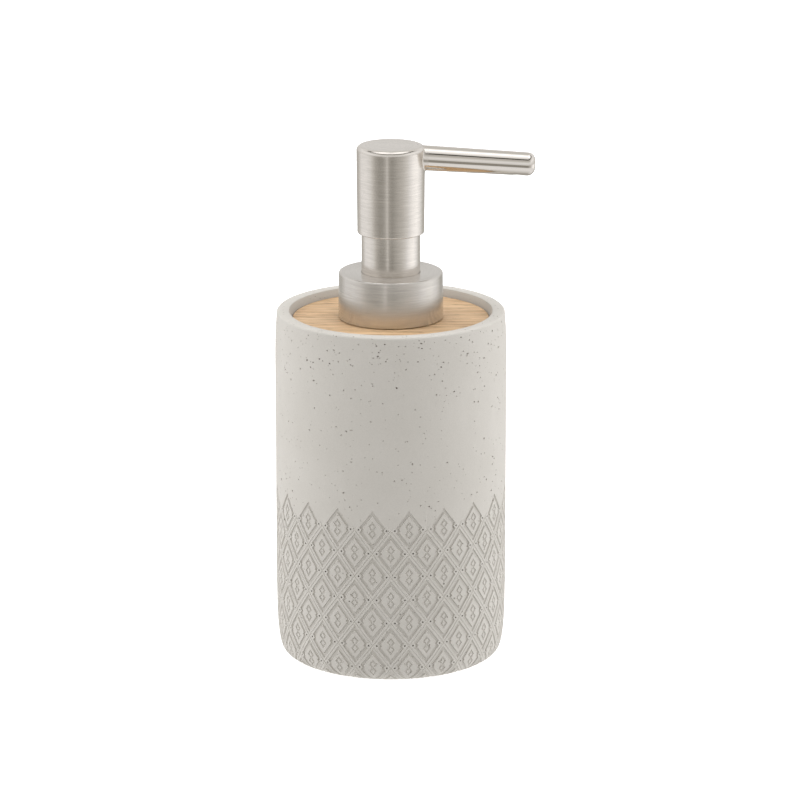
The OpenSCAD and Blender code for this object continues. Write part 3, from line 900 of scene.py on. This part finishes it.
def coil_spring():
    """Round wire wound into a compression spring with one closed turn at each end."""
    wire = 0.45
    coil = SPRING_R - wire
    turns, steps, sides = 9, 40, 14
    rise = SPRING_TOP - SPRING_Z - 2 * wire
    closed = 2 * wire + 0.02
    pitch = (rise - 2 * closed) / (turns - 2)
    verts, faces = [], []
    for i in range(turns * steps + 1):
        t = i / steps
        if t < 1:
            z = t * closed
        elif t > turns - 1:
            z = rise - (turns - t) * closed
        else:
            z = closed + (t - 1) * pitch
        for j in range(sides):
            b = TURN * j / sides
            r = coil + wire * math.cos(b)
            height = SPRING_Z + wire + z + wire * math.sin(b)
            verts.append((r * math.cos(TURN * t), r * math.sin(TURN * t), height))
    for i in range(turns * steps):
        for j in range(sides):
            k = (j + 1) % sides
            faces.append((i * sides + j, i * sides + k, (i + 1) * sides + k, (i + 1) * sides + j))
    faces.append(tuple(range(sides)))
    faces.append(tuple(turns * steps * sides + j for j in reversed(range(sides))))
    return new_object("coil_spring", verts, faces, 50)


# ---------------------------------------------------------------- head with its spout
HEAD_Z, HEAD_TOP = HEAD_LO.z, HEAD_HI.z
HEAD_LOW_R = HEAD_R - 0.25
HEAD_ROUND, HEAD_LOW_ROUND = 1.6, 0.4
HEAD_TOP_WALL = 1
CAVITY_R = span("head_core")[0] + FIT
DROOP = math.radians(3.5)
ROOT_R, TIP_R, TIP_ROUND = 4.15, 3.85, 2.6
SPOUT_START, TAPER_START, REACH = 8.5, 9.7, 47.0
BORE_START, BORE_END, BORE_R = 7.5, REACH - 3, 2.6
NOZZLE_S, NOZZLE_POCKET, NOZZLE_UP = 41.5, 1.65, 1.8
ROOT_BLEND, EDGE_BLEND = 0.6, 0.25
CELL = 0.34
PULLS = 4  # moves that bring the mesh's points onto the surface
AXIS = np.array((math.cos(DROOP), 0, -math.sin(DROOP)))
DOWN = np.array((-math.sin(DROOP), 0, -math.cos(DROOP)))
SPOUT_FROM = np.array((0, 0, HEAD_TOP - ROOT_R - 0.1 + HEAD_R * math.tan(DROOP)))


def corner_distance(a, b, radius):
    """Distance to a convex corner between two faces at distances a and b, rounded."""
    u, v = a + radius, b + radius
    return np.hypot(np.maximum(u, 0), np.maximum(v, 0)) + np.minimum(np.maximum(u, v), 0) - radius


def soft_min(a, b, k):
    """Smaller of two distances, blended over a width k."""
    h = np.maximum(k - abs(a - b), 0) / np.maximum(k, 1e-6)
    return np.minimum(a, b) - h * h * k / 4


def soft_max(a, b, k):
    """Larger of two distances, blended over a width k."""
    return -soft_min(-a, -b, k)


def head_distance(p):
    """Distance to the round head, which widens a little upwards."""
    z = p[..., 2]
    up = np.clip((z - HEAD_Z) / (HEAD_TOP - HEAD_ROUND - HEAD_Z), 0, 1)
    wall = np.hypot(p[..., 0], p[..., 1]) - (HEAD_LOW_R + (HEAD_R - HEAD_LOW_R) * up)
    top = corner_distance(wall, z - HEAD_TOP, HEAD_ROUND)
    return np.maximum(top, corner_distance(wall, HEAD_Z - z, HEAD_LOW_ROUND))


def spout_place(p):
    """Distance along the spout's axis, off the axis, and down from it."""
    q = p - SPOUT_FROM
    s = q @ AXIS
    off = np.linalg.norm(q - s[..., None] * AXIS, axis=-1)
    return s, off, q @ DOWN


def spout_distance(p):
    """Distance to the spout, which narrows towards its rounded tip."""
    s, off, _ = spout_place(p)
    along = np.clip((s - TAPER_START) / (REACH - TIP_ROUND - TAPER_START), 0, 1)
    wall = off - (ROOT_R + (TIP_R - ROOT_R) * along)
    return np.maximum(corner_distance(wall, s - REACH, TIP_ROUND), SPOUT_START - s)


def slope(field, p, h=0.02):
    """Gradient of a distance field, by central differences."""
    out = np.empty_like(p)
    for axis in range(3):
        step = np.zeros(3)
        step[axis] = h
        out[..., axis] = (field(p + step) - field(p - step)) / (2 * h)
    return out


def shell_distance(p):
    """Head and spout with a blended root, less the cavity, the spout's bore and the nozzle's pocket."""
    a, b = head_distance(p), spout_distance(p)
    facing = np.sum(slope(head_distance, p) * slope(spout_distance, p), axis=-1)
    solid = soft_min(a, b, ROOT_BLEND * np.clip(1 - facing, 0, 1))
    s, off, down = spout_place(p)
    rho, z = np.hypot(p[..., 0], p[..., 1]), p[..., 2]
    cavity = np.maximum(rho - CAVITY_R, z - (HEAD_TOP - HEAD_TOP_WALL))
    bore = np.maximum(off - BORE_R, np.maximum(BORE_START - s, s - BORE_END))
    pocket = np.maximum(np.hypot(s - NOZZLE_S, p[..., 1]) - NOZZLE_POCKET, -NOZZLE_UP - down)
    hollow = np.minimum(np.minimum(cavity, bore), pocket)
    return soft_max(solid, -hollow, EDGE_BLEND)


def surface_net(field, low, high, cell):
    """Quads on a field's zero surface: one point in each grid box that the surface crosses."""
    axes = [np.arange(low[i], high[i] + cell, cell) for i in range(3)]
    grid = np.stack(np.meshgrid(*axes, indexing="ij"), axis=-1)
    value = np.concatenate([field(slab) for slab in np.array_split(grid, 16)])
    inside = value < 0
    shape = np.array(inside.shape) - 1
    total = np.zeros(shape)
    place = np.zeros((*shape, 3))
    for axis in range(3):
        others = [i for i in range(3) if i != axis]
        a = np.moveaxis(value, axis, 0)[:-1]
        b = np.moveaxis(value, axis, 0)[1:]
        crossing = (a < 0) != (b < 0)
        t = np.where(crossing, a / np.where(crossing, a - b, 1), 0)
        crossing, t = np.moveaxis(crossing, 0, axis), np.moveaxis(t, 0, axis)
        for u in (0, 1):
            for v in (0, 1):
                take = [slice(None)] * 3
                take[others[0]] = slice(u, u + shape[others[0]])
                take[others[1]] = slice(v, v + shape[others[1]])
                hit, at = crossing[tuple(take)], t[tuple(take)]
                total += hit
                place[..., axis] += np.where(hit, at, 0)
                place[..., others[0]] += np.where(hit, u, 0)
                place[..., others[1]] += np.where(hit, v, 0)
    used = total > 0
    index = np.full(shape, -1)
    index[used] = np.arange(used.sum())
    boxes = np.argwhere(used)
    points = np.array(low) + cell * (boxes + place[used] / total[used][:, None])
    faces = []
    for axis in range(3):
        u, v = (axis + 1) % 3, (axis + 2) % 3
        take = [slice(None)] * 3
        take[axis] = slice(0, -1)
        first = inside[tuple(take)]
        take[axis] = slice(1, None)
        second = inside[tuple(take)]
        edges = np.argwhere(first != second)
        edges = edges[(edges[:, u] > 0) & (edges[:, v] > 0)]
        flip = first[tuple(edges.T)]
        corners = []
        for du, dv in ((0, 0), (-1, 0), (-1, -1), (0, -1)):
            box = edges.copy()
            box[:, u] += du
            box[:, v] += dv
            corners.append(index[tuple(box.T)])
        quads = np.stack(corners, axis=1)
        quads[~flip] = quads[~flip][:, ::-1]
        faces.append(quads)
    return points, np.concatenate(faces)


def head_with_spout():
    """Head and spout as one shell, with normals taken from the distance field."""
    margin = 1.5 * CELL
    low = (-HEAD_R - margin, -HEAD_R - margin, HEAD_Z - margin)
    high = (TIP_X + margin, HEAD_R + margin, HEAD_TOP + margin)
    points, quads = surface_net(shell_distance, low, high, CELL)
    for _ in range(PULLS):
        g = slope(shell_distance, points)
        size = np.maximum(np.sum(g * g, axis=1), 0.25)
        move = -(shell_distance(points) / size)[:, None] * g
        points = points + np.clip(move, -CELL, CELL)
    g = slope(shell_distance, points)
    normals = g / np.maximum(np.linalg.norm(g, axis=1), 1e-9)[:, None]
    points = np.clip(points, np.array(HEAD_LO), np.array(HEAD_HI))
    mesh = bpy.data.meshes.new("head_and_spout")
    mesh.from_pydata([Vector(p) * MM for p in points], [], quads.tolist())
    mesh.shade_smooth()
    mesh.normals_split_custom_set_from_vertices(normals.tolist())
    return placed("head_and_spout", mesh)


def polish_spout(head):
    """Second finish on the faces of the head that lie along the spout."""
    head.data.materials.append(SPOUT_METAL)
    centres = np.array([p.center for p in head.data.polygons]) / MM
    on_spout = spout_place(centres)[0] > HEAD_R + 1.0
    head.data.polygons.foreach_set("material_index", on_spout.astype(int))


# ---------------------------------------------------------------- pieces
def dress(material_slot, mat, *nodes):
    """A CAD node keeps its shape and gets its finish."""
    for node in nodes:
        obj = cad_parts[node]
        obj.data.materials.clear()
        obj.data.materials.append(mat)
        obj.data.shade_smooth()
        obj.data.set_sharp_from_angle(angle=math.radians(30))


put(stone_bottle(), "bottle", "stone", STONE, "stone_body")
put(wood_ring(), "bottle", "wood", WOOD, "wood_disc")
put(foot_pad(), "bottle", "pad_foam", FOAM, "base_pad")
put(threaded_neck(), "bottle", "neck_plastic", NECK_PLASTIC, "neck_insert")
put(collar(), "closure", "brushed_metal", COLLAR_METAL, "collar_shell")
put(sleeve(), "pump", "brushed_metal", SLEEVE_METAL, "guide_sleeve")
spring = put(coil_spring(), "pump", "spring_steel", STEEL, "return_spring")
polish_spout(put(head_with_spout(), "head", "brushed_metal", HEAD_METAL, "head_shell"))
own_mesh(spring)

dress("pump_plastic", WHITE_PLASTIC, "closure_nut", "pump_housing", "chaplet", "piston", "stem",
      "piston_seat", "head_core")
dress("tube_plastic", TUBE_PLASTIC, "dip_tube", "spout_liner")
dress("gasket_foam", GASKET_FOAM, "closure_gasket")
dress("nozzle_plastic", NOZZLE_PLASTIC, "outlet_nozzle")
dress("ball_steel", BALL_STEEL, "inlet_ball", "outlet_ball")


# ---------------------------------------------------------------- studio
def studio_floor():
    """Plain pale floor, which neither shows in the metal nor lights the object."""
    mesh = bpy.data.meshes.new("floor")
    half = 4.0
    corners = [(-half, -half, 0), (half, -half, 0), (half, half, 0), (-half, half, 0)]
    mesh.from_pydata(corners, [], [(0, 1, 2, 3)])
    floor = placed("floor", mesh)
    mat, n, shader = material("pale_floor")
    plain = n.stretched((1, 1, 1))
    tint = n.mixed(n.noise(plain, 40, 3), (0.78, 0.78, 0.78), (0.80, 0.80, 0.80))
    n.link(tint, shader.inputs["Base Color"])
    shader.inputs["Roughness"].default_value = 0.9
    shader.inputs["Specular IOR Level"].default_value = 0.0
    shader.inputs["Emission Color"].default_value = (1, 1, 1, 1)
    shader.inputs["Emission Strength"].default_value = 0.6
    mesh.materials.append(mat)
    floor.visible_glossy = False
    floor.visible_diffuse = False


# Light levels of the studio's surround, as (degrees, level). A bearing is 0 at the front and
# positive towards the spout, and an elevation is 0 at eye level.
AROUND = ((-180, 0.55), (-142, 0.58), (-118, 1.00), (-92, 1.04), (-72, 0.88), (-54, 0.49), (-40, 0.35),
          (-27, 0.36), (-18, 0.50), (-12, 0.76), (-6, 0.42), (5, 0.32), (14, 0.40), (24, 0.49), (41, 0.62),
          (60, 0.86), (81, 1.25), (100, 1.38), (118, 1.10), (142, 0.55), (180, 0.50))
SIDES = ((-180, 1.0), (-167, 1.0), (-150, 1.7), (-95, 2.6), (-62, 2.4), (-38, 1.0), (38, 1.0), (62, 2.4),
         (95, 2.6), (150, 1.7), (167, 1.0), (180, 1.0))
FRONT = ((-90, 0.74), (-70, 0.9), (-55, 1.04), (-28, 0.97), (-7, 0.74), (0, 0.85), (15, 1.02), (28, 0.75),
         (38, 0.55), (44, 0.66), (46.5, 0.05), (53, 0.05), (57, 0.75), (66, 1.1), (76, 1.4), (90, 1.3))
BACK = ((-90, 0.50), (-3, 0.55), (5, 0.80), (30, 0.80), (60, 0.70), (75, 0.90), (90, 1.1))
OVERHEAD = ((-90, 1.0), (25, 1.0), (60, 1.25), (90, 1.3))
# Shares by elevation: of AROUND against the rest, and of SIDES that reflections get
LEVEL_EYE = ((-90, 0.0), (-30, 0.0), (-26, 1.0), (-7, 1.0), (-3, 0.0), (90, 0.0))
SIDES_KEPT = ((-90, 0.0), (15, 0.0), (30, 0.40), (90, 0.40))
BEHIND_FROM, BEHIND_TO = 120, 155


def studio_light():
    """Soft light from a white surround: bright panels left, right and behind, dimmer in front."""
    world = bpy.data.worlds.new("studio")
    bpy.context.scene.world = world
    n = Nodes(world)
    place = n.add("SeparateXYZ")
    n.link(n.add("TexCoord").outputs["Generated"], place.inputs[0])
    x, y, z = place.outputs
    bearing = n.calc("ARCTAN2", x, n.calc("MULTIPLY", y, -1.0))
    share = n.calc("MULTIPLY_ADD", bearing, 1 / TURN, 0.5)
    height = n.calc("MULTIPLY_ADD", z, 0.5, 0.5)

    def by_bearing(levels):
        """Levels placed on the bearing's share of a turn."""
        return n.ramp(share, *((degrees / 360 + 0.5, level) for degrees, level in levels))

    def by_elevation(levels):
        """Levels placed on the direction's height."""
        stops = ((math.sin(math.radians(degrees)) / 2 + 0.5, level) for degrees, level in levels)
        return n.ramp(height, *stops)

    sides = by_bearing(SIDES)
    width = BEHIND_TO - BEHIND_FROM
    aside = n.calc("ABSOLUTE", bearing)
    behind = n.calc("MULTIPLY_ADD", aside, 1 / math.radians(width), -BEHIND_FROM / width, clamp=True)
    fill = n.mixed(1.0, sides, by_elevation(OVERHEAD), "MULTIPLY")
    sheen = n.mixed(by_elevation(SIDES_KEPT), (1.0, 1.0, 1.0), sides)
    fill = n.mixed(n.add("LightPath").outputs["Is Glossy Ray"], fill, sheen)
    wall = n.mixed(behind, by_elevation(FRONT), by_elevation(BACK))
    above = n.mixed(1.0, wall, fill, "MULTIPLY")
    level = n.mixed(by_elevation(LEVEL_EYE), above, by_bearing(AROUND))
    tint = n.ramp(level, (0.30, (1.0, 0.965, 0.885)), (1.0, (1.0, 1.0, 1.02)))
    level = n.mixed(1.0, level, tint, "MULTIPLY")
    light = n.add("Background")
    n.link(level, light.inputs[0])
    white = n.add("Background")
    white.inputs[0].default_value = (1, 1, 1, 1)
    choose = n.add("MixShader")
    n.link(n.add("LightPath").outputs["Is Camera Ray"], choose.inputs[0])
    n.link(light.outputs[0], choose.inputs[1])
    n.link(white.outputs[0], choose.inputs[2])
    n.link(choose.outputs[0], n.add("OutputWorld").inputs[0])
    bpy.context.scene.view_settings.view_transform = "Standard"


def studio_camera():
    """Long lens from the front, a little above, as the product was photographed."""
    elevation = math.radians(15.5)
    distance = 1.5
    lens = 205.0
    target = Vector((0.003, 0, 0.0862))
    camera = placed("camera", bpy.data.cameras.new("camera"))
    camera.location = target + distance * Vector((0, -math.cos(elevation), math.sin(elevation)))
    camera.rotation_euler = (math.pi / 2 - elevation, 0, 0)
    camera.data.lens = lens
    camera.data.sensor_width = 36
    camera.data.clip_start = 0.01
    bpy.context.scene.camera = camera


studio_floor()
studio_light()
studio_camera()
